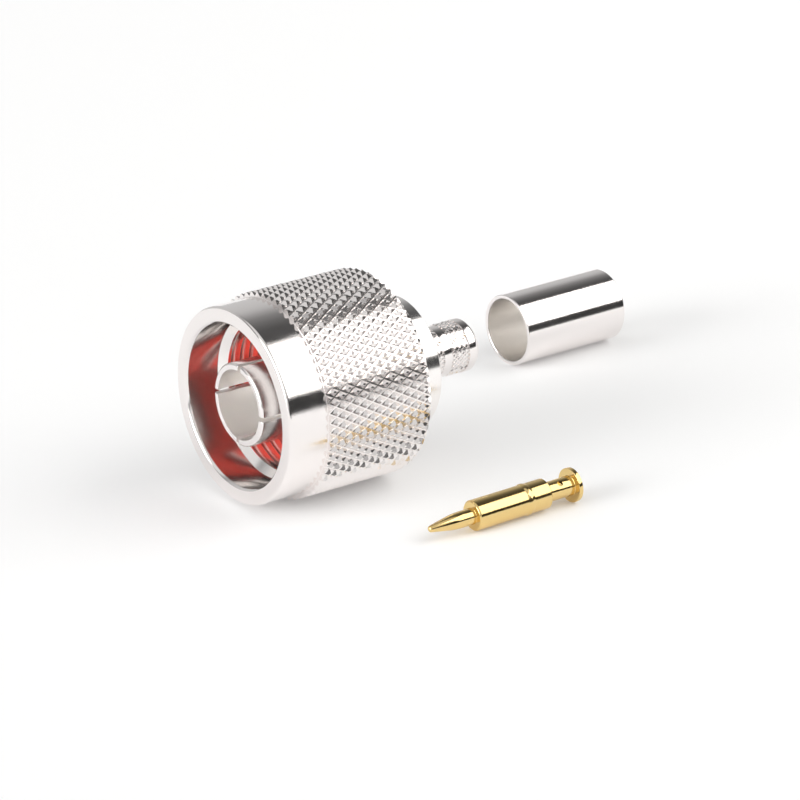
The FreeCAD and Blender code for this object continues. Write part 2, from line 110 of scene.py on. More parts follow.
def count(name, description, value, least):
    return IntProperty(name=name, description=description, default=value, min=least)


def amount(name, description, value):
    return FloatProperty(name=name, description=description, default=value, min=0.0)


def tint(name, description, value):
    return FloatVectorProperty(name=name, description=description, default=value,
                               size=3, min=0.0, max=1.0, subtype="COLOR")


class CrimpPlugNut(bpy.types.PropertyGroup):
    """Sizes of the coupling nut, along its axis from the mouth."""
    band_length: length("Front band", "Smooth band behind the mouth", 4.34)
    band_radius: length("Band radius", "Outside of the smooth band", 9.80)
    knurl_length: length("Grip", "Length of the knurled grip", 11.86)
    knurl_chamfer: length("Grip bevel", "Bevel at the rear of the grip", 0.30)
    groove_depth: length("Groove depth", "Depth of the knurl's grooves", 0.34)
    diamonds_round: count("Diamonds round", "Diamonds in one row of the grip", 64, 8)
    diamond_length: length("Diamond length", "Diamond along the axis", 1.6943)
    land_share: share("Land", "Flat top of a diamond as a share of it", 0.24)
    floor_share: share("Groove floor", "Flat bottom of the grooves as a share of a diamond", 0.13)
    collar_radius: length("Collar radius", "Smooth collar behind the grip", 6.70)
    collar_chamfer: length("Collar bevel", "Bevel at the rear of the collar", 0.18)
    collar_fillet: length("Collar root", "Fillet at the root of the collar", 0.40)
    rim_round: length("Rim", "Rounded outer edge of the mouth", 0.30)
    mouth_chamfer: length("Mouth bevel", "Inner edge of the mouth", 0.22)
    mouth_radius: length("Mouth radius", "Plain counterbore of the mouth", 8.15)
    mouth_depth: length("Mouth depth", "Depth of the plain counterbore", 3.70)
    thread_core: length("Thread core", "Radius at the crests of the thread", 7.45)
    thread_root: length("Thread root", "Radius at the bottom of the thread", 7.82)
    thread_pitch: length("Thread pitch", "One turn of the thread along the axis", 1.0583)
    thread_end: length("Thread end", "Mouth to the end of the thread", 9.20)
    relief_radius: length("Run-out radius", "Run-out groove behind the thread", 8.10)
    relief_length: length("Run-out length", "Width of the run-out groove", 1.40)
    tail_bore: length("Tail bore", "Bore round the shank of the body", 5.36)


class CrimpPlugBody(bpy.types.PropertyGroup):
    """Sizes of the connector body, from the rear end of its stem."""
    flange_radius: length("Flange radius", "Flange that the nut pulls on", 7.20)
    flange_thickness: length("Flange", "Flange along the axis", 1.50)
    shank_radius: length("Shank radius", "Shank that the nut turns on", 5.30)
    shank_chamfer: length("Shank bevel", "Rear edge of the shank", 0.25)
    socket_radius: length("Socket radius", "Socket for the outer contact", 4.60)
    stem_radius: length("Stem radius", "Crimp stem", 2.70)
    stem_length: length("Stem length", "Crimp stem behind the shank", 7.09)
    stem_bore: length("Stem bore", "Bore for the cable", 2.00)
    lip_length: length("Lip", "Plain lip at the end of the stem", 1.34)
    lip_chamfer: length("Lip bevel", "Bevel at the end of the lip", 0.50)
    knurl_length: length("Knurl band", "Rough band next to the lip", 2.00)
    neck_width: length("Neck", "Smooth neck between the rough bands", 1.00)
    neck_depth: length("Neck depth", "Depth of the neck", 0.12)
    groove_depth: length("Groove depth", "Depth of the stem's grooves", 0.16)
    diamonds_round: count("Diamonds round", "Diamonds in one row of the stem", 36, 8)
    diamond_length: length("Diamond length", "Diamond along the axis", 0.56)
    land_share: share("Land", "Flat top of a diamond as a share of it", 0.25)
    floor_share: share("Groove floor", "Flat bottom of the grooves as a share of a diamond", 0.10)
    knurl_wear: share("Wear", "How unevenly the crests of the stem's knurl are pressed flat", 0.9)


class CrimpPlugSleeve(bpy.types.PropertyGroup):
    """Sizes of the slotted outer contact, from its tip."""
    radius: length("Radius", "Outside of the sleeve", 4.14)
    bore: length("Bore", "Inside of the sleeve", 3.50)
    tip_chamfer: length("Tip bevel", "Outer edge of the tip", 0.16)
    edge_round: length("Edge", "Softened edges of the fingers", 0.05)
    slots: count("Slots", "Slots round the sleeve", 4, 2)
    slot_width: length("Slot width", "Sawn slot", 0.45)
    slot_length: length("Slot length", "Tip to the bottom of the slots", 6.60)
    slot_turn: angle("Slot turn", "Turn of the slots about the axis", 3.2)


class CrimpPlugSmallParts(bpy.types.PropertyGroup):
    """Sizes of the gasket and the ferrule."""
    gasket_radius: length("Gasket radius", "Outside of the gasket", 7.05)
    gasket_round: length("Gasket round", "Edges of the gasket", 0.30)
    ferrule_radius: length("Ferrule radius", "Outside of the tube", 3.78)
    ferrule_bore: length("Ferrule bore", "Inside of the tube", 3.36)
    ferrule_length: length("Ferrule length", "Length of the tube", 12.83)
    ferrule_round: length("Ferrule round", "Edges of the tube", 0.12)


class CrimpPlugPin(bpy.types.PropertyGroup):
    """Sizes of the centre contact, from its tip."""
    length: length("Length", "Tip to tail", 17.18)
    tip_radius: length("Tip", "Radius of the blunt tip", 0.30)
    taper_length: length("Taper", "Taper of the nose", 2.90)
    nose_radius: length("Nose radius", "Plain part of the nose", 0.82)
    nose_length: length("Nose", "Tip to the front of the barrel", 5.04)
    barrel_radius: length("Barrel radius", "Barrel", 1.52)
    barrel_length: length("Barrel", "Barrel along the axis", 8.66)
    barrel_chamfer: length("Barrel bevel", "Both edges of the barrel", 0.14)
    ridge_place: length("Ridge", "Tip to the middle of the locking ridge", 11.20)
    ridge_width: length("Ridge width", "Foot of the ridge", 0.75)
    ridge_height: length("Ridge height", "Ridge above the barrel", 0.10)
    neck_radius: length("Neck radius", "Neck round the conductor", 1.00)
    tail_radius: length("Tail radius", "Flange at the tail", 1.72)
    tail_thickness: length("Tail", "Flange along the axis", 0.45)
    bore: length("Bore", "Bore for the conductor", 0.74)
    bore_depth: length("Bore depth", "Depth of the bore", 4.40)
    hole_radius: length("Hole", "Inspection hole in the neck", 0.29)
    hole_place: length("Hole place", "Tip to the inspection hole", 15.20)
    roll: angle("Roll", "Turn of the inspection hole off the top", 35.0)


class CrimpPlugFinish(bpy.types.PropertyGroup):
    """Colours of the finishes."""
    plating: tint("Plating", "White plated brass", (0.90, 0.86, 0.845))
    gold: tint("Gold", "Gold plating", (0.80, 0.59, 0.255))
    silicone: tint("Silicone", "Red gasket", (0.92, 0.075, 0.05))
    # Painted light: the bore tint is lighter than the plating outside, to lift the shade that falls
    # inside the bores.
    bore: tint("Bores", "Plated brass inside the bores", (0.95, 0.92, 0.90))
    # Painted light: the ferrule's bore tint is lighter still than the other bores, to lift the
    # shade inside the tube.
    tube_bore_painted_light: tint("Ferrule bore", "Plating inside the ferrule, lightened as painted light", (0.985, 0.955, 0.92))
    bead: tint("Bead", "White insulator", (0.86, 0.85, 0.82))
    bronze: tint("Bronze", "Spring ring", (0.72, 0.45, 0.24))
    table: tint("Table", "White table", (0.90, 0.90, 0.90))


class CrimpPlugStage(bpy.types.PropertyGroup):
    """Camera and light of the stage."""
    camera_place: FloatVectorProperty(
        name="Camera", description="Place of the camera", size=3, subtype="TRANSLATION",
        unit="LENGTH", default=(-0.19581, -0.29489, 0.14695))
    heading: angle("Heading", "Heading of the view, from +X towards +Y", 53.904)
    dip: angle("Dip", "How far the view looks down", 22.490)
    lens: amount("Lens", "Focal length in millimetres", 180.0)
    box_power: FloatProperty(name="Softbox", description="Power of the softbox", default=10.0,
                             unit="POWER")
    box_distance: length("Softbox distance", "Object to the softbox", 1300.0)
    box_width: length("Softbox width", "Width of the softbox", 1029.0)
    box_length: length("Softbox length", "Length of the softbox", 1300.0)
    box_roll: angle("Softbox roll", "Turn of the softbox in its own plane", 40.0)
    top_light: amount("Top light", "Brightness of the ceiling over the camera", 0.75)
    mouth_light: amount("Mouth light", "Brightness of the lamp before the mouth", 10.0)
    table_size: length("Table", "Half the width of the table", 700.0)
    table_glow: amount("Table glow", "Light from under the table", 0.12)


def mesh_data(name, mesh):
    """Writes a finished bmesh to a new mesh and frees it."""
    data = bpy.data.meshes.new(name)
    mesh.to_mesh(data)
    mesh.free()
    return data


def add_object(name, data):
    """A new object in the scene."""
    added = bpy.data.objects.new(name, data)
    bpy.context.scene.collection.objects.link(added)
    return added


def cut_corner(before, corner, after, cut, steps):
    """Points of a soft arc in place of a corner, that starts and ends at a distance from it."""
    start = corner + (before - corner).normalized() * cut
    end = corner + (after - corner).normalized() * cut
    points = []
    for step in range(steps + 1):
        t = step / steps
        points.append(start * (1 - t) ** 2 + corner * 2 * t * (1 - t) + end * t ** 2)
    return points


def soft_outline(corners, closed=True, steps=4):
    """An outline of (along, radius) points from (along, radius, cut) corners, in metres."""
    places = [Vector(corner[:2]) for corner in corners]
    outline = []
    for index, corner in enumerate(corners):
        cut = corner[2] if len(corner) > 2 else 0
        at_end = not closed and index in (0, len(corners) - 1)
        if cut == 0 or at_end:
            outline.append(places[index])
        else:
            after = places[(index + 1) % len(corners)]
            outline += cut_corner(places[index - 1], places[index], after, cut, steps)
    return outline


def add_ring(mesh, along, radius, steps=ROUND_STEPS):
    """One ring of vertices about the axis, or a single one on it."""
    if radius < TINY:
        return [mesh.verts.new((along, 0, 0))]
    turn = 2 * math.pi / steps
    return [mesh.verts.new((along, radius * math.cos(turn * step), radius * math.sin(turn * step)))
            for step in range(steps)]


def bridge_rings(mesh, first, second):
    """Faces between two rings, where one of them may be a single point."""
    steps = max(len(first), len(second))
    for step in range(steps):
        after = (step + 1) % steps
        corners = [first[step % len(first)], first[after % len(first)],
                   second[after % len(second)], second[step % len(second)]]
        mesh.faces.new(list(dict.fromkeys(corners)))


def add_turning(mesh, outline, closed=True, steps=ROUND_STEPS):
    """Turns an outline of (along, radius) points about the axis."""
    rings = [add_ring(mesh, along, radius, steps) for along, radius in outline]
    partners = rings[1:] + rings[:1] if closed else rings[1:]
    for first, second in zip(rings, partners):
        if len(first) > 1 or len(second) > 1:
            bridge_rings(mesh, first, second)
    return rings


def add_knurl(mesh, start, end, radius, depth, round_count, diamond_length, land_share, floor_share,
              wear=0.0):
    """Staggered pyramids with flat crests between flat-bottomed grooves, past both ends of a band.

    Wear presses the crests of a rough knurl flat by uneven shares of the groove's depth.
    """
    half_length = diamond_length / 2
    half_turn = math.pi / round_count
    rows = math.ceil((end - start) / half_length) + 2
    columns = 2 * round_count
    sides = ((-1, 0), (0, -1), (1, 0), (0, 1))
    feet = {}

    def corners(row, column, spread, height):
        points = []
        for along, around in sides:
            turn = (column + around * spread) * half_turn
            points.append(mesh.verts.new((start + (row - 1 + along * spread) * half_length,
                                          height * math.cos(turn), height * math.sin(turn))))
        return points

    for row in range(rows + 1):
        for column in range((row + 1) % 2, columns, 2):
            pressed = wear * (0.5 + noise.noise(Vector((row * 1.37, column * 0.93, 0.5))))
            pressed = min(max(pressed, 0.0), MOST_PRESSED)
            foot = corners(row, column, 1 - floor_share, radius - depth)
            crest = corners(row, column, land_share + (1 - floor_share - land_share) * pressed,
                            radius - depth * pressed)
            feet[row, column] = foot
            mesh.faces.new(crest)
            for side in range(4):
                after = (side + 1) % 4
                mesh.faces.new((foot[side], foot[after], crest[after], crest[side]))
    for (row, column), foot in feet.items():
        left, right = (column - 1) % columns, (column + 1) % columns
        if row > 0:
            mesh.faces.new((foot[1], foot[0], feet[row - 1, left][3], feet[row - 1, left][2]))
            mesh.faces.new((foot[0], foot[3], feet[row - 1, right][2], feet[row - 1, right][1]))
        if row > 1:
            mesh.faces.new((feet[row - 2, column][2], feet[row - 1, right][1],
                            foot[0], feet[row - 1, left][3]))


def trim_band(mesh, start, end):
    """Cuts a band off square at both ends and returns the cut edges at the start and at the end."""
    loops = []
    for place, outward in ((start, -ALONG), (end, ALONG)):
        geometry = mesh.verts[:] + mesh.edges[:] + mesh.faces[:]
        cut = bmesh.ops.bisect_plane(mesh, geom=geometry, dist=TINY, plane_co=ALONG * place,
                                     plane_no=outward, clear_outer=True)
        loops.append([item for item in cut["geom_cut"] if isinstance(item, bmesh.types.BMEdge)])
    return loops


def close_band(mesh, edges, radius):
    """A flat wall from the cut edges of a band in to a radius."""
    wall = bmesh.ops.extrude_edge_only(mesh, edges=edges)["geom"]
    for vertex in (item for item in wall if isinstance(item, bmesh.types.BMVert)):
        across = Vector((0, vertex.co.y, vertex.co.z)).normalized() * radius
        vertex.co = Vector((vertex.co.x, across.y, across.z))


def knurled_band(start, end, wall_radii, bevel=0.0, **knurl):
    """A separate mesh of a knurled band with its two end walls."""
    band = bmesh.new()
    add_knurl(band, start, end, **knurl)
    edges_at_start, edges_at_end = trim_band(band, start, end)
    if bevel > 0:
        radius = knurl["radius"]
        bmesh.ops.bisect_plane(band, geom=band.verts[:] + band.edges[:] + band.faces[:],
                               dist=TINY, plane_co=ALONG * (end - bevel), plane_no=ALONG)
        for vertex in band.verts:
            reach = math.hypot(vertex.co.y, vertex.co.z)
            limit = radius - max(0.0, vertex.co.x - (end - bevel))
            if reach > limit:
                vertex.co.y *= limit / reach
                vertex.co.z *= limit / reach
        edges_at_start = [edge for edge in band.edges if edge.is_boundary
                          and all(vertex.co.x < start + TINY for vertex in edge.verts)]
        edges_at_end = [edge for edge in band.edges if edge.is_boundary
                        and all(vertex.co.x > end - TINY for vertex in edge.verts)]
    close_band(band, edges_at_start, wall_radii[0])
    close_band(band, edges_at_end, wall_radii[1])
    for face in band.faces:
        face.material_index = KNURLED
    return band


def join_mesh(mesh, other):
    """Moves all of another mesh into this one."""
    holder = mesh_data("holder", other)
    mesh.from_mesh(holder)
    bpy.data.meshes.remove(holder)


def add_thread(mesh, start, end, core, root, pitch, steps=ROUND_STEPS):
    """An internal thread: crests at the core radius and roots at the root radius."""
    crest_half, flank, root_half = pitch * 0.17, pitch * 0.13, pitch * 0.20
    stations = ((-crest_half, core), (crest_half, core), (crest_half + flank, root),
                (crest_half + flank + 2 * root_half, root))
    turns = math.ceil((end - start) / pitch) + 1
    rings = []
    for turn in range(-1, turns + 1):
        for offset, radius in stations:
            ring = []
            for step in range(steps + 1):
                around = 2 * math.pi * step / steps
                along = start + pitch * (turn + step / steps) + offset
                place = min(max(along, start), end)
                height = radius
                if place != along:
                    height = thread_height(place - start - pitch * step / steps, stations, pitch)
                ring.append(mesh.verts.new(
                    (place, height * math.cos(around), height * math.sin(around))))
            rings.append(ring)
    for first, second in zip(rings, rings[1:]):
        for step in range(steps):
            corners = (first[step], first[step + 1], second[step + 1], second[step])
            spread = max(corner.co.x for corner in corners) - min(corner.co.x for corner in corners)
            if start < corners[0].co.x < end or start < corners[2].co.x < end or spread > TINY:
                mesh.faces.new(corners)


def thread_height(along, stations, pitch):
    """Radius of the thread's section at a place along one pitch."""
    first_place = stations[0][0]
    place = (along - first_place) % pitch + first_place
    closed = list(stations) + [(first_place + pitch, stations[0][1])]
    for (before, low), (after, high) in zip(closed, closed[1:]):
        if place <= after:
            return low + (high - low) * (place - before) / (after - before)
    return closed[-1][1]


def mark_bore(mesh, radius, start=-1.0, end=1.0):
    """Gives plain faces nearer to the axis than a radius, between two places, the bore's finish."""
    for face in mesh.faces:
        middle = face.calc_center_median()
        inside = math.hypot(middle.y, middle.z) < radius and start < middle.x < end
        if inside and face.material_index == PLAIN:
            face.material_index = BORED


def make_piece(name, mesh, materials, body, nodes, place=None):
    """Turns a finished bmesh into an object that rides on a body and stands for CAD nodes."""
    bmesh.ops.remove_doubles(mesh, verts=mesh.verts[:], dist=TINY)
    bmesh.ops.dissolve_degenerate(mesh, edges=mesh.edges[:], dist=TINY)
    bmesh.ops.recalc_face_normals(mesh, faces=mesh.faces[:])
    data = mesh_data(name, mesh)
    if place is not None:
        data.transform(place)
    for material in materials:
        data.materials.append(material)
    data.shade_smooth()
    data.set_sharp_from_angle(angle=SHARP_ANGLE)
    piece = add_object(name, data)
    shading = piece.modifiers.new("Weighted normals", "WEIGHTED_NORMAL")
    shading.keep_sharp = True
    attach(piece, body)
    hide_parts(*nodes)
    return piece


class Finish:
    """A material while its nodes are laid out. Patterns are in the object's own coordinates.

    Values are for sockets of the shader, named with underscores for spaces.
    """

    def __init__(self, name, **values):
        self.material = bpy.data.materials.new(name)
        self.material.use_nodes = True
        self.nodes = self.material.node_tree.nodes
        self.links = self.material.node_tree.links
        self.shader = self.nodes["Principled BSDF"]
        self.coordinates = self.nodes.new("ShaderNodeTexCoord")
        for socket, value in values.items():
            self.shader.inputs[socket.replace("_", " ")].default_value = value

    def feed(self, socket, source):
        self.links.new(source, self.shader.inputs[socket])

    def noise(self, scale, detail, stretch=(1.0, 1.0, 1.0)):
        """A noise of so many features a metre, finer along the axes that are stretched."""
        mapping = self.nodes.new("ShaderNodeMapping")
        mapping.inputs["Scale"].default_value = stretch
        self.links.new(self.coordinates.outputs["Object"], mapping.inputs["Vector"])
        texture = self.nodes.new("ShaderNodeTexNoise")
        texture.inputs["Scale"].default_value = scale
        texture.inputs["Detail"].default_value = detail
        self.links.new(mapping.outputs["Vector"], texture.inputs["Vector"])
        return texture.outputs["Fac"]

    def roughen(self, source, low, high):
        """Lets a noise move the roughness over a range."""
        spread = self.nodes.new("ShaderNodeMapRange")
        ends = {"From Min": NOISE_LOW, "From Max": NOISE_HIGH, "To Min": low, "To Max": high}
        for socket, value in ends.items():
            spread.inputs[socket].default_value = value
        self.links.new(source, spread.inputs["Value"])
        self.feed("Roughness", spread.outputs["Result"])

    def shade(self, source, colour, darkest):
        """Lets a noise darken the colour down to a share of it."""
        ramp = self.nodes.new("ShaderNodeValToRGB")
        dark, light = ramp.color_ramp.elements
        dark.color = (*[channel * darkest for channel in colour], 1.0)
        light.color = (*colour, 1.0)
        self.links.new(source, ramp.inputs["Fac"])
        self.feed("Base Color", ramp.outputs["Color"])

    def bump(self, source, depth, strength, under=None):
        """A bump, laid over another one if there is one, that the shader takes as its normal."""
        bump = self.nodes.new("ShaderNodeBump")
        bump.inputs["Strength"].default_value = strength
        bump.inputs["Distance"].default_value = depth
        self.links.new(source, bump.inputs["Height"])
        if under is not None:
            self.links.new(under, bump.inputs["Normal"])
        self.feed("Normal", bump.outputs["Normal"])
        return bump.outputs["Normal"]


def plated_metal(name, colour, roughness, grain=1.0):
    """Plated metal: faint turning marks round the axis under a fine grain."""
    finish = Finish(name, Metallic=1.0, Base_Color=(*colour, 1.0))
    patches = finish.noise(900.0, 3.0)
    finish.roughen(patches, roughness * 0.75, roughness * 1.3)
    turning = finish.noise(400.0, 2.0, (30.0, 1.0, 1.0))
    marks = finish.bump(turning, 0.0004 * MM, 0.2 * grain)
    peel = finish.noise(11000.0, 2.0)
    finish.bump(peel, 0.004 * MM, 0.9 * grain, under=marks)
    return finish.material


def bored_metal(name, colour, roughness):
    """Plated metal inside a bore: a duller finish with fine tool rings."""
    finish = Finish(name, Metallic=1.0, Base_Color=(*colour, 1.0))
    rings = finish.noise(300.0, 3.0, (40.0, 1.0, 1.0))
    finish.roughen(rings, roughness * 0.9, roughness * 1.15)
    finish.bump(rings, 0.0004 * MM, 0.15)
    return finish.material


def red_silicone(colour):
    """Soft red rubber with a slight bloom."""
    finish = Finish("red silicone", Subsurface_Weight=0.15, Subsurface_Scale=1.0,
                    Subsurface_Radius=(0.6 * MM, 0.1 * MM, 0.05 * MM))
    cloud = finish.noise(600.0, 4.0)
    finish.shade(cloud, colour, darkest=0.8)
    finish.roughen(cloud, 0.38, 0.55)
    finish.bump(finish.noise(5000.0, 2.0), 0.004 * MM, 0.4)
    return finish.material


def white_bead(colour):
    """Machined white insulator with faint tool rings."""
    finish = Finish("white PTFE", Subsurface_Weight=0.2, Subsurface_Scale=1.0,
                    Subsurface_Radius=(0.4 * MM, 0.4 * MM, 0.3 * MM))
    rings = finish.noise(500.0, 2.0, (20.0, 1.0, 1.0))
    finish.shade(rings, colour, darkest=0.93)
    finish.roughen(rings, 0.42, 0.58)
    return finish.material


def white_table(colour, glow):
    """A matt white sheet with a faint light behind it."""
    finish = Finish("white table", Roughness=0.7, Specular_IOR_Level=0.2,
                    Emission_Strength=glow, Emission_Color=(1.0, 1.0, 1.0, 1.0))
    finish.shade(finish.noise(12.0, 3.0), colour, darkest=0.985)
    return finish.material


def dress_node(name, material):
    """Gives a CAD node that stays its material."""
    node = frame["nodes"][name]
    node.data.materials.clear()
    node.data.materials.append(material)
    return node


def sleeve_finger(mesh, sizes, middle_angle, reach):
    """One springy finger between two slots, open at its rear, where it meets the ring."""
    half_slot = sizes.slot_width / 2
    soft = sizes.edge_round
    near = soft * ROUND_SHARE
    tip_radius = sizes.radius - sizes.tip_chamfer
    stations = (
        (0, sizes.bore + soft, tip_radius - soft, soft),
        (near, sizes.bore + near, tip_radius - near, near),
        (soft, sizes.bore, tip_radius + soft, 0),
        (sizes.tip_chamfer, sizes.bore, sizes.radius - near, 0),
        (sizes.tip_chamfer + soft, sizes.bore, sizes.radius, 0),
        (reach, sizes.bore, sizes.radius, 0),
    )
    sector = math.pi / sizes.slots
    arc_steps = 36
    rings = []
    for along, inner, outer, inset in stations:
        ring = []
        for radius, direction in ((outer, 1), (inner, -1)):
            for radius_inset, side_inset in corner_steps(soft, "start"):
                ring.append(finger_point(along, radius, radius_inset, -direction, half_slot, inset,
                                         side_inset, sector, middle_angle, direction))
            limit = sector - math.asin((half_slot + soft + inset) / radius)
            for step in range(1, arc_steps):
                turn = direction * limit * (2 * step / arc_steps - 1)
                ring.append((along, radius, middle_angle + turn))
            for radius_inset, side_inset in corner_steps(soft, "end"):
                ring.append(finger_point(along, radius, radius_inset, direction, half_slot, inset,
                                         side_inset, sector, middle_angle, direction))
        rings.append([mesh.verts.new((x, r * math.cos(turn), r * math.sin(turn)))
                      for x, r, turn in ring])
    for first, second in zip(rings, rings[1:]):
        for step in range(len(first)):
            after = (step + 1) % len(first)
            mesh.faces.new((first[step], first[after], second[after], second[step]))
    tip = rings[0]
    half = len(tip) // 2
    for step in range(half - 1):
        mesh.faces.new((tip[step], tip[step + 1], tip[-2 - step], tip[-1 - step]))


def corner_steps(soft, end):
    """(radius inset, side inset) pairs that run round one softened corner of a finger."""
    near = soft * ROUND_SHARE
    pairs = ((soft, 0.0), (near, near), (0.0, soft))
    return pairs if end == "start" else pairs[::-1]


def finger_point(along, radius, radius_inset, side, half_slot, inset, side_inset, sector,
                 middle_angle, direction):
    """A point near the side of a finger, at a set distance from the slot's middle plane."""
    reach = radius - direction * radius_inset
    limit = sector - math.asin((half_slot + inset + side_inset) / reach)
    return (along, reach, middle_angle + side * limit)


def axis_place(origin, direction, roll=0.0):
    """A matrix that lays the local X axis along a direction, Z kept as high as it can be."""
    along = Vector(direction).normalized()
    across = Vector((0, 0, 1)).cross(along).normalized()
    upward = along.cross(across)
    turn = Matrix((along, across, upward)).transposed().to_4x4()
    return Matrix.Translation(origin) @ turn @ Matrix.Rotation(roll, 4, "X")


class CRIMPPLUG_OT_nut(bpy.types.Operator):
    """Builds the coupling nut with its knurled grip and its inner thread"""
    bl_idname = "crimp_plug.nut"
    bl_label = "Coupling Nut"

    def execute(self, context):
        sizes = context.scene.crimp_plug_nut
        finish = context.scene.crimp_plug_finish
        mouth = NUT_LOW.x
        rear = NUT_HIGH.x
        knurl_radius = NUT_HIGH.y
        knurl_start = mouth + sizes.band_length
        knurl_end = knurl_start + sizes.knurl_length
        thread_start = mouth + sizes.mouth_depth + sizes.mouth_radius - sizes.thread_core
        thread_end = mouth + sizes.thread_end
        relief_end = thread_end + sizes.relief_length
        end_play, tail_edge = 0.10 * MM, 0.10 * MM
        shoulder = GASKET_HIGH.x + context.scene.crimp_plug_body.flange_thickness + end_play
        groove_floor = knurl_radius - sizes.groove_depth
        front_wall, rear_wall = groove_floor - 0.05 * MM, groove_floor - 0.35 * MM
        soft = 0.06 * MM
        front = soft_outline([
            (knurl_start, front_wall),
            (knurl_start, sizes.band_radius, soft),
            (mouth, sizes.band_radius, sizes.rim_round),
            (mouth, sizes.mouth_radius + sizes.mouth_chamfer, soft),
            (mouth + sizes.mouth_chamfer, sizes.mouth_radius, soft),
            (mouth + sizes.mouth_depth, sizes.mouth_radius, soft),
            (thread_start, sizes.thread_core),
        ], closed=False)
        inside = soft_outline([
            (thread_end, sizes.thread_core),
            (thread_end, sizes.relief_radius),
            (relief_end, sizes.relief_radius, soft),
            (relief_end, sizes.thread_core, soft),
            (shoulder, sizes.thread_core, soft),
            (shoulder, sizes.tail_bore, soft),
            (rear, sizes.tail_bore, soft),
            (rear, sizes.collar_radius - sizes.collar_chamfer, soft * 0.5),
            (rear - sizes.collar_chamfer, sizes.collar_radius, soft * 0.5),
            (knurl_end, sizes.collar_radius, sizes.collar_fillet),
            (knurl_end, rear_wall),
        ], closed=False)
        mesh = bmesh.new()
        add_turning(mesh, front, closed=False)
        add_turning(mesh, inside, closed=False)
        add_thread(mesh, thread_start, thread_end, sizes.thread_core, sizes.thread_root,
                   sizes.thread_pitch)
        band = knurled_band(
            knurl_start, knurl_end, (front_wall, rear_wall),
            bevel=sizes.knurl_chamfer, radius=knurl_radius,
            depth=sizes.groove_depth, round_count=sizes.diamonds_round,
            diamond_length=sizes.diamond_length, land_share=sizes.land_share,
            floor_share=sizes.floor_share)
        join_mesh(mesh, band)
        mark_bore(mesh, sizes.mouth_radius + HAIR, end=rear - tail_edge)
        # Painted light: the lighter bore tint lifts the shade inside the mouth and the thread.
        metals = [plated_metal("white plated brass, nut", finish.plating, 0.10),
                  bored_metal("white plated bore, nut", finish.bore, 0.14),
                  plated_metal("white plated knurl, nut", finish.plating, 0.15)]
        make_piece("knurled_coupling_nut", mesh, metals, "nut", ["coupling_nut"])
        return {"FINISHED"}


class CRIMPPLUG_OT_body(bpy.types.Operator):
    """Builds the connector body with its knurled crimp stem"""
    bl_idname = "crimp_plug.body"
    bl_label = "Connector Body"

    def execute(self, context):
        sizes = context.scene.crimp_plug_body
        finish = context.scene.crimp_plug_finish
        front = BODY_LOW.x
        flange_rear = front + sizes.flange_thickness
        stem_end = BODY_HIGH.x
        shank_rear = stem_end - sizes.stem_length
        lip_start = stem_end - sizes.lip_length
        neck_end = lip_start - sizes.knurl_length
        neck_start = neck_end - sizes.neck_width
        plain_root = 0.65 * MM
        inner_knurl_start = shank_rear + plain_root
        neck_radius = sizes.stem_radius - sizes.neck_depth
        floor_radius = sizes.stem_radius - sizes.groove_depth
        seat_end = BEAD_HIGH.x
        seat_radius = BEAD_HIGH.y
        socket_bottom = SLEEVE_HIGH.x
        soft = 0.04 * MM
        outline = soft_outline([
            (front, sizes.socket_radius, soft),
            (front, sizes.flange_radius, soft),
            (flange_rear, sizes.flange_radius, soft),
            (flange_rear, sizes.shank_radius),
            (shank_rear - sizes.shank_chamfer, sizes.shank_radius, soft),
            (shank_rear, sizes.shank_radius - sizes.shank_chamfer, soft),
            (shank_rear, sizes.stem_radius, soft),
            (inner_knurl_start, sizes.stem_radius),
            (inner_knurl_start, floor_radius - soft),
            (neck_start, floor_radius - soft),
            (neck_start, neck_radius, soft),
            (neck_end, neck_radius, soft),
            (neck_end, floor_radius - soft),
            (lip_start, floor_radius - soft),
            (lip_start, sizes.stem_radius, soft),
            (stem_end - sizes.lip_chamfer, sizes.stem_radius, soft * 2.5),
            (stem_end, sizes.stem_radius - sizes.lip_chamfer * 0.75, soft * 1.5),
            (stem_end, sizes.stem_bore, soft),
            (seat_end, sizes.stem_bore),
            (seat_end, seat_radius),
            (socket_bottom, seat_radius),
            (socket_bottom, sizes.socket_radius),
        ])
        mesh = bmesh.new()
        add_turning(mesh, outline)
        for start, end in ((inner_knurl_start, neck_start), (neck_end, lip_start)):
            band = knurled_band(
                start, end, (floor_radius - soft, floor_radius - soft),
                radius=sizes.stem_radius, depth=sizes.groove_depth,
                round_count=sizes.diamonds_round, diamond_length=sizes.diamond_length,
                land_share=sizes.land_share, floor_share=sizes.floor_share, wear=sizes.knurl_wear)
            join_mesh(mesh, band)
        mark_bore(mesh, sizes.stem_bore + soft, start=front, end=stem_end - soft)
        # Painted light: the lighter bore tint lifts the shade inside the stem's bore.
        metals = [plated_metal("white plated brass, body", finish.plating, 0.10),
                  bored_metal("white plated bore, body", finish.bore, 0.35),
                  plated_metal("white plated knurl, body", finish.plating, 0.12)]
        make_piece("knurled_connector_body", mesh, metals, "plug", ["connector_body"])
        return {"FINISHED"}


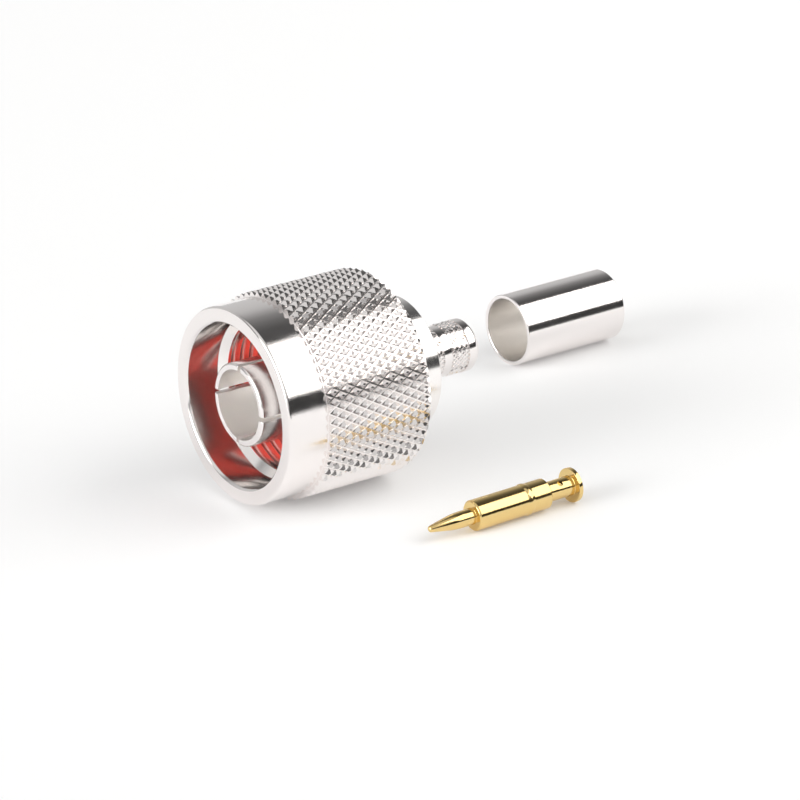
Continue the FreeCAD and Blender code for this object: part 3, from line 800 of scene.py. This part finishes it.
class CRIMPPLUG_OT_sleeve(bpy.types.Operator):
    """Builds the slotted outer contact"""
    bl_idname = "crimp_plug.sleeve"
    bl_label = "Outer Contact"

    def execute(self, context):
        sizes = context.scene.crimp_plug_sleeve
        finish = context.scene.crimp_plug_finish
        flange_front = BODY_LOW.x
        land_radius = SLEEVE_HIGH.y
        bead_seat = sizes.bore + 0.2 * MM
        mesh = bmesh.new()
        sector = math.pi / sizes.slots
        for finger in range(sizes.slots):
            middle = sizes.slot_turn + sector * (2 * finger + 1)
            sleeve_finger(mesh, sizes, middle, sizes.slot_length)
        soft = sizes.edge_round
        add_turning(mesh, soft_outline([
            (sizes.slot_length, sizes.bore),
            (sizes.slot_length, sizes.radius),
            (flange_front, sizes.radius),
            (flange_front, land_radius, soft),
            (SLEEVE_HIGH.x, land_radius, soft),
            (SLEEVE_HIGH.x, bead_seat),
            (BEAD_LOW.x, bead_seat),
            (BEAD_LOW.x, sizes.bore),
        ]))
        mark_bore(mesh, (sizes.bore + sizes.radius) / 2, start=soft)
        # Painted light: the lighter bore tint lifts the shade inside the sleeve.
        metals = [bored_metal("white plated sleeve", finish.plating, 0.18),
                  bored_metal("white plated bore, sleeve", finish.bore, 0.38)]
        make_piece("slotted_outer_contact", mesh, metals, "plug", ["outer_contact"])
        return {"FINISHED"}


class CRIMPPLUG_OT_gasket(bpy.types.Operator):
    """Builds the red gasket and gives the insulator and the retaining ring their finish"""
    bl_idname = "crimp_plug.gasket"
    bl_label = "Gasket and Hidden Pieces"

    def execute(self, context):
        sizes = context.scene.crimp_plug_small
        finish = context.scene.crimp_plug_finish
        bore = context.scene.crimp_plug_sleeve.radius + HAIR
        mesh = bmesh.new()
        add_turning(mesh, soft_outline([
            (GASKET_LOW.x, bore, sizes.gasket_round),
            (GASKET_LOW.x, sizes.gasket_radius, sizes.gasket_round),
            (GASKET_HIGH.x, sizes.gasket_radius, 0.05 * MM),
            (GASKET_HIGH.x, bore),
        ]))
        make_piece("red_gasket", mesh, [red_silicone(finish.silicone)], "plug", ["gasket"])
        dress_node("insulator", white_bead(finish.bead))
        dress_node("retaining_ring", plated_metal("spring bronze", finish.bronze, 0.3))
        return {"FINISHED"}


class CRIMPPLUG_OT_ferrule(bpy.types.Operator):
    """Builds the loose crimp ferrule"""
    bl_idname = "crimp_plug.ferrule"
    bl_label = "Crimp Ferrule"

    def execute(self, context):
        sizes = context.scene.crimp_plug_small
        finish = context.scene.crimp_plug_finish
        mount = MOUNTS["ferrule_bore"]
        half = sizes.ferrule_length / 2
        cut = sizes.ferrule_round
        mesh = bmesh.new()
        add_turning(mesh, soft_outline([
            (-half, sizes.ferrule_bore, cut),
            (-half, sizes.ferrule_radius, cut),
            (half, sizes.ferrule_radius, cut),
            (half, sizes.ferrule_bore, cut),
        ]))
        mark_bore(mesh, sizes.ferrule_bore + cut, start=cut - half, end=half - cut)
        # Painted light: the lightened ferrule-bore tint lifts the shade inside the tube.
        metals = [plated_metal("white plated brass, ferrule", finish.plating, 0.09),
                  bored_metal("white plated bore, ferrule", finish.tube_bore_painted_light, 0.36)]
        make_piece("plated_crimp_ferrule", mesh, metals, "plug", ["crimp_ferrule"],
                   place=axis_place(mount["pos_m"], mount["axis"]))
        return {"FINISHED"}


class CRIMPPLUG_OT_pin(bpy.types.Operator):
    """Builds the loose centre contact with its bore and inspection hole"""
    bl_idname = "crimp_plug.pin"
    bl_label = "Centre Contact"

    def execute(self, context):
        sizes = context.scene.crimp_plug_pin
        finish = context.scene.crimp_plug_finish
        barrel_end = sizes.nose_length + sizes.barrel_length
        tail_front = sizes.length - sizes.tail_thickness
        ridge_radius = sizes.barrel_radius + sizes.ridge_height
        bore_bottom = sizes.length - sizes.bore_depth
        half_ridge = sizes.ridge_width / 2
        edge = sizes.barrel_chamfer
        soft = 0.03 * MM
        outline = soft_outline([
            (0, 0),
            (0, sizes.tip_radius, sizes.tip_radius * 0.7),
            (sizes.taper_length, sizes.nose_radius, 0.8 * MM),
            (sizes.nose_length, sizes.nose_radius, soft),
            (sizes.nose_length, sizes.barrel_radius - edge, soft),
            (sizes.nose_length + edge, sizes.barrel_radius, soft),
            (sizes.ridge_place - half_ridge, sizes.barrel_radius, soft),
            (sizes.ridge_place, ridge_radius, half_ridge * 0.6),
            (sizes.ridge_place + half_ridge, sizes.barrel_radius, soft),
            (barrel_end - edge, sizes.barrel_radius, soft),
            (barrel_end, sizes.barrel_radius - edge, soft),
            (barrel_end, sizes.neck_radius, soft * 2),
            (tail_front, sizes.neck_radius, soft * 2),
            (tail_front, sizes.tail_radius, soft * 2),
            (sizes.length, sizes.tail_radius, soft * 2),
            (sizes.length, sizes.bore + soft * 2, soft),
            (sizes.length - soft * 2, sizes.bore, soft),
            (bore_bottom, sizes.bore),
            (bore_bottom - sizes.bore * 0.6, 0),
        ], closed=False)
        mesh = bmesh.new()
        add_turning(mesh, outline, closed=False, steps=128)
        mount = MOUNTS["conductor_bore"]
        axis = Vector(mount["axis"])
        tip = Vector(mount["pos_m"]) + axis * (mount["dims"]["length_mm"] * MM / 2 - sizes.length)
        metal = plated_metal("gold plating", finish.gold, 0.10, grain=0.8)
        piece = make_piece("gold_centre_contact", mesh, [metal], "plug", ["center_contact"],
                           place=axis_place(tip, axis, sizes.roll))
        drill_hole(piece, axis_place(tip, axis, sizes.roll), sizes)
        return {"FINISHED"}


def drill_hole(piece, place, sizes):
    """Cuts the inspection hole through the upper wall of the neck, from the bore outwards."""
    cutter_mesh = bmesh.new()
    bmesh.ops.create_cone(
        cutter_mesh, cap_ends=True, segments=48, radius1=sizes.hole_radius,
        radius2=sizes.hole_radius, depth=sizes.tail_radius,
        matrix=Matrix.Translation((sizes.hole_place, 0, sizes.tail_radius / 2)))
    data = mesh_data("hole cutter", cutter_mesh)
    data.transform(place)
    cutter = add_object("hole cutter", data)
    cut = piece.modifiers.new("inspection hole", "BOOLEAN")
    cut.operation = "DIFFERENCE"
    cut.solver = "EXACT"
    cut.object = cutter
    depsgraph = bpy.context.evaluated_depsgraph_get()
    result = bpy.data.meshes.new_from_object(piece.evaluated_get(depsgraph), depsgraph=depsgraph)
    piece.modifiers.clear()
    undrilled = piece.data
    if len(result.polygons) == len(undrilled.polygons):
        raise RuntimeError("the inspection hole cuts nothing")
    piece.data = result
    result.name = undrilled.name
    bpy.data.objects.remove(cutter)
    for mesh in (undrilled, data):
        bpy.data.meshes.remove(mesh)
    result.set_sharp_from_angle(angle=SHARP_ANGLE)


class CRIMPPLUG_OT_stage(bpy.types.Operator):
    """Builds the white table, the softbox, the studio round them and the camera"""
    bl_idname = "crimp_plug.stage"
    bl_label = "Stage"

    def execute(self, context):
        stage = context.scene.crimp_plug_stage
        finish = context.scene.crimp_plug_finish
        table = make_table(stage, finish, CAD_BOX[0].z)
        box = make_softbox(stage)
        camera = make_camera(stage)
        make_world(context.scene, stage)
        context.scene.view_settings.view_transform = "Standard"
        context.scene.view_settings.look = "None"
        return {"FINISHED"}


def make_table(stage, finish, level):
    """A wide white sheet at the level that the pieces stand on, with a faint light under it."""
    mesh = bmesh.new()
    bmesh.ops.create_grid(mesh, x_segments=8, y_segments=8, size=stage.table_size)
    data = mesh_data("table", mesh)
    data.materials.append(white_table(finish.table, stage.table_glow))
    table = add_object("table", data)
    table.location = (0, 0, level)
    return table


def make_softbox(stage):
    """One large softbox to the right of the camera, that the cylinders mirror as a white band."""
    data = bpy.data.lights.new("softbox", "AREA")
    data.shape = "RECTANGLE"
    data.size = stage.box_length
    data.size_y = stage.box_width
    data.energy = stage.box_power
    data.color = (1.0, 0.99, 0.97)
    toward = Vector((0.618, -0.4585, 0.6386)).normalized()
    upright = Vector((0, 0.8128, 0.5825)).normalized()
    sideways = upright.cross(toward)
    box = add_object("softbox", data)
    box.matrix_world = (Matrix.Translation(toward * stage.box_distance)
                        @ Matrix((sideways, upright, toward)).transposed().to_4x4()
                        @ Matrix.Rotation(stage.box_roll, 4, "Z"))
    box.visible_camera = False
    return box


def make_camera(stage):
    data = bpy.data.cameras.new("camera")
    data.lens = stage.lens
    data.sensor_width = 36.0
    data.clip_start = 0.01
    data.clip_end = 20.0
    camera = add_object("camera", data)
    heading = Vector((math.cos(stage.heading), math.sin(stage.heading), 0)) * math.cos(stage.dip)
    view = heading - Vector((0, 0, math.sin(stage.dip)))
    camera.location = stage.camera_place
    camera.rotation_euler = view.to_track_quat("-Z", "Y").to_euler()
    bpy.context.scene.camera = camera
    return camera


def make_world(scene, stage):
    """The studio: a pale backdrop behind the table, a ceiling light over the camera, a lamp that
    shines into the mouth, and a dark room."""
    world = bpy.data.worlds.new("studio")
    world.use_nodes = True
    scene.world = world
    nodes, links = world.node_tree.nodes, world.node_tree.links
    coordinates = nodes.new("ShaderNodeTexCoord")
    split = nodes.new("ShaderNodeSeparateXYZ")
    links.new(coordinates.outputs["Generated"], split.inputs["Vector"])

    def ramp_along(axis, stops):
        ramp = nodes.new("ShaderNodeValToRGB")
        paint_ramp(ramp, stops)
        links.new(split.outputs[axis], ramp.inputs["Fac"])
        return ramp.outputs["Color"]

    def blend(first, second, direction, low, high):
        """Goes from the first colour to a second colour or brightness towards a direction."""
        facing = nodes.new("ShaderNodeVectorMath")
        facing.operation = "DOT_PRODUCT"
        facing.inputs[1].default_value = direction
        links.new(coordinates.outputs["Generated"], facing.inputs[0])
        share_of_second = nodes.new("ShaderNodeMapRange")
        share_of_second.inputs["From Min"].default_value = low
        share_of_second.inputs["From Max"].default_value = high
        links.new(facing.outputs["Value"], share_of_second.inputs["Value"])
        mix = nodes.new("ShaderNodeMix")
        mix.data_type = "RGBA"
        first_colour, second_colour, blended = mix.inputs[6], mix.inputs[7], mix.outputs[2]
        links.new(share_of_second.outputs["Result"], mix.inputs["Factor"])
        links.new(first, first_colour)
        if isinstance(second, float):
            second_colour.default_value = (second, second, second, 1.0)
        else:
            links.new(second, second_colour)
        return blended

    room = ramp_along("Z", ((0.0, 0.6), (0.015, 0.06), (0.1, 0.045), (1.0, 0.05)))
    backdrop = ramp_along("Y", (
        (0.0, 0.075), (0.22, 0.088), (0.38, 0.15), (0.51, 0.235), (0.60, 0.36),
        (0.67, 0.48), (0.74, 0.55), (0.83, 0.59), (1.0, 0.62)))
    studio = blend(room, backdrop, (0.0, 1.0, 0.0), -0.2, 0.05)
    studio = blend(studio, stage.top_light, (-0.45, -0.35, 0.82), 0.56, 0.66)
    studio = blend(studio, stage.mouth_light, (-0.974, 0.05, 0.22), 0.92, 0.98)
    background = nodes["Background"]
    links.new(studio, background.inputs["Color"])
    background.inputs["Strength"].default_value = 1.0


def paint_ramp(node, stops):
    """Grey stops (place, value) of a colour ramp, in order."""
    elements = node.color_ramp.elements
    while len(elements) > 1:
        elements.remove(elements[-1])
    elements[0].position = stops[0][0]
    elements[0].color = (*[stops[0][1]] * 3, 1.0)
    for place, value in stops[1:]:
        elements.new(place).color = (value, value, value, 1.0)


class CRIMPPLUG_PT_panel(bpy.types.Panel):
    """Lists the pieces of the plug"""
    bl_idname = "CRIMPPLUG_PT_panel"
    bl_label = "Crimp Plug"
    bl_space_type = "VIEW_3D"
    bl_region_type = "UI"
    bl_category = "Crimp Plug"

    def draw(self, context):
        for operator in OPERATORS:
            self.layout.operator(operator.bl_idname)


OPERATORS = (
    CRIMPPLUG_OT_nut,
    CRIMPPLUG_OT_body,
    CRIMPPLUG_OT_sleeve,
    CRIMPPLUG_OT_gasket,
    CRIMPPLUG_OT_ferrule,
    CRIMPPLUG_OT_pin,
    CRIMPPLUG_OT_stage,
)
GROUPS = {
    "crimp_plug_nut": CrimpPlugNut,
    "crimp_plug_body": CrimpPlugBody,
    "crimp_plug_sleeve": CrimpPlugSleeve,
    "crimp_plug_small": CrimpPlugSmallParts,
    "crimp_plug_pin": CrimpPlugPin,
    "crimp_plug_finish": CrimpPlugFinish,
    "crimp_plug_stage": CrimpPlugStage,
}


def register():
    for group in GROUPS.values():
        bpy.utils.register_class(group)
    for name, group in GROUPS.items():
        setattr(bpy.types.Scene, name, PointerProperty(type=group))
    for operator in OPERATORS:
        bpy.utils.register_class(operator)
    bpy.utils.register_class(CRIMPPLUG_PT_panel)


def unregister():
    bpy.utils.unregister_class(CRIMPPLUG_PT_panel)
    for operator in reversed(OPERATORS):
        bpy.utils.unregister_class(operator)
    for name in GROUPS:
        delattr(bpy.types.Scene, name)
    for group in reversed(list(GROUPS.values())):
        bpy.utils.unregister_class(group)


def main():
    """Registers the classes, then builds every piece and the stage."""
    register()
    bpy.ops.crimp_plug.nut()
    bpy.ops.crimp_plug.body()
    bpy.ops.crimp_plug.sleeve()
    bpy.ops.crimp_plug.gasket()
    bpy.ops.crimp_plug.ferrule()
    bpy.ops.crimp_plug.pin()
    bpy.ops.crimp_plug.stage()


if __name__ == "__main__":
    main()
